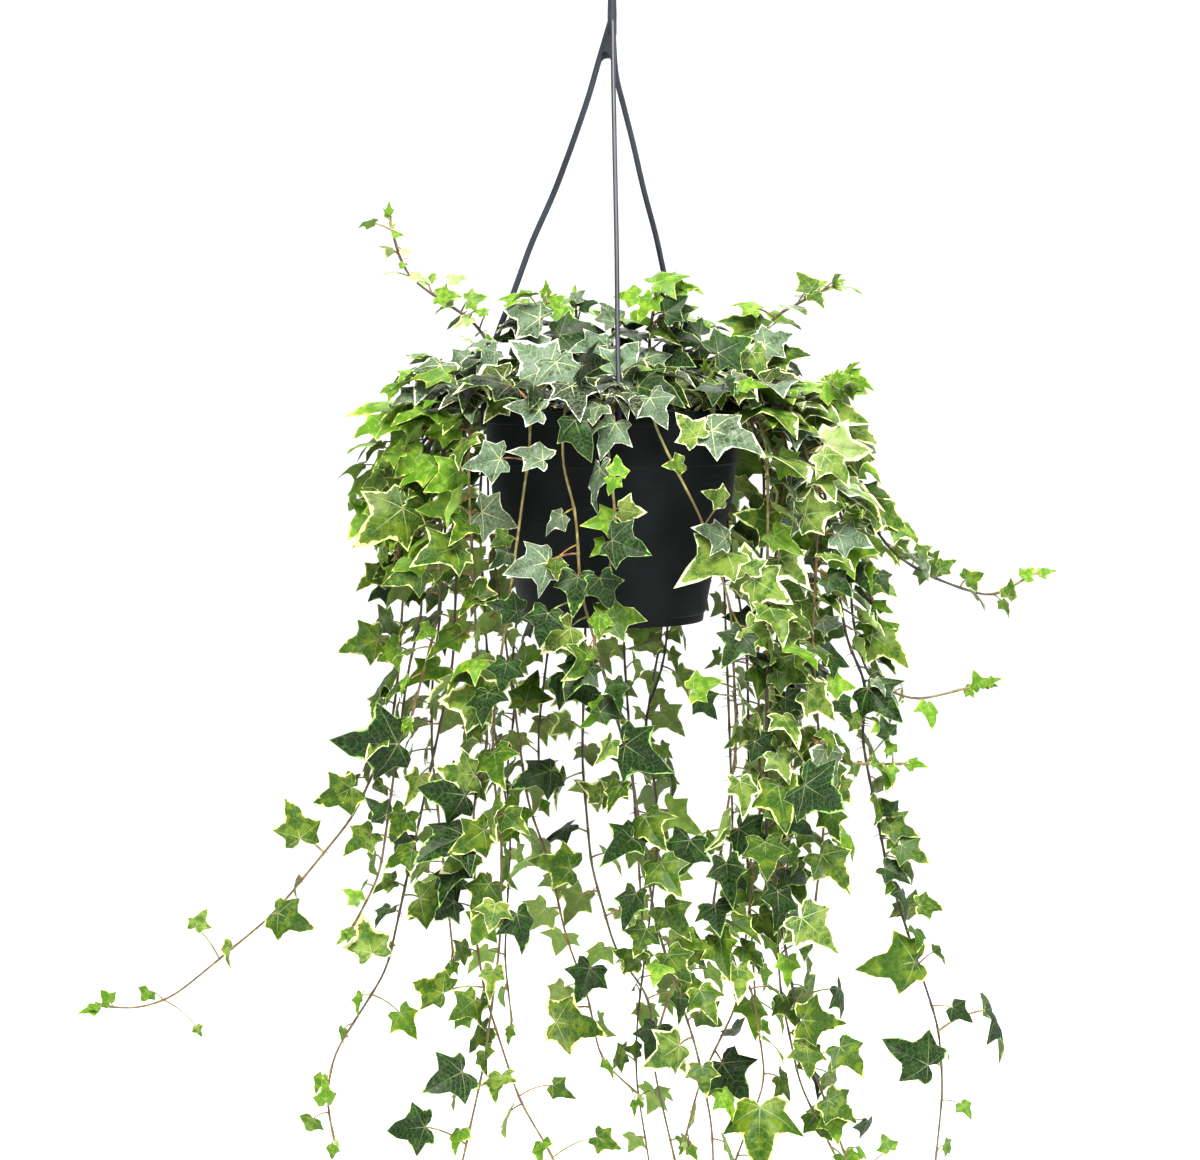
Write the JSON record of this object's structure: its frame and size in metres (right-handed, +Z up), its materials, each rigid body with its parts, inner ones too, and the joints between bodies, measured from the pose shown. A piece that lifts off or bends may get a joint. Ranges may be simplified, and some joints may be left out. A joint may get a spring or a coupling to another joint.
{
  "type": "ivy hanging basket",
  "caption": "Hanging basket of trailing variegated ivy in a tapered black plastic pot, which hangs by stiff plastic strands from a hook.",
  "frame": {"origin": "the point of the hook's inner bow on which the basket hangs, on the pot's own axis", "axes": "+Z up along the pot's axis, -Y towards the viewer of the picture, +X to that viewer's right"},
  "size_m": [0.6352, 0.2937, 0.8888],
  "materials": {
    "pot_plastic": "moulded near-black plastic with a soft sheen and faint turned lines",
    "hanger_plastic": "stiff moulded dark slate plastic, slightly glossy",
    "compost": "moist dark peat and bark, crumbly",
    "ivy": "waxy variegated leaves, grey-green to lime with cream margins, on thin brown stems"
  },
  "bodies": {
    "root": {"pot": "pot_plastic", "hanger": "hanger_plastic", "soil": "compost", "vine_back_diagonal": "ivy", "vine_back_mid": "ivy", "vine_back_mid_left": "ivy", "vine_crown_back": "ivy", "vine_crown_far_left": "ivy", "vine_crown_front": "ivy", "vine_crown_left": "ivy", "vine_crown_left_front": "ivy", "vine_crown_left_top": "ivy", "vine_crown_middle": "ivy", "vine_crown_right_back": "ivy", "vine_crown_right_front": "ivy", "vine_crown_right_low": "ivy", "vine_crown_top": "ivy", "vine_front_centre": "ivy", "vine_front_left": "ivy", "vine_front_mid": "ivy", "vine_front_right": "ivy", "vine_left_back": "ivy", "vine_left_bright_high": "ivy", "vine_left_bright_low": "ivy", "vine_left_front": "ivy", "vine_left_long": "ivy", "vine_left_main": "ivy", "vine_left_mid": "ivy", "vine_left_runner": "ivy", "vine_rear_a": "ivy", "vine_rear_b": "ivy", "vine_rear_c": "ivy", "vine_rear_d": "ivy", "vine_rear_e": "ivy", "vine_rear_f": "ivy", "vine_rear_g": "ivy", "vine_rear_h": "ivy", "vine_right_brown": "ivy", "vine_right_dark": "ivy", "vine_right_front": "ivy", "vine_right_light": "ivy", "vine_right_long": "ivy", "vine_right_mid": "ivy", "vine_right_outer": "ivy", "vine_right_runner": "ivy", "vine_right_shoot": "ivy", "vine_right_spur": "ivy", "vine_top_left": "ivy", "vine_top_right": "ivy"}
  },
  "joints": []
}
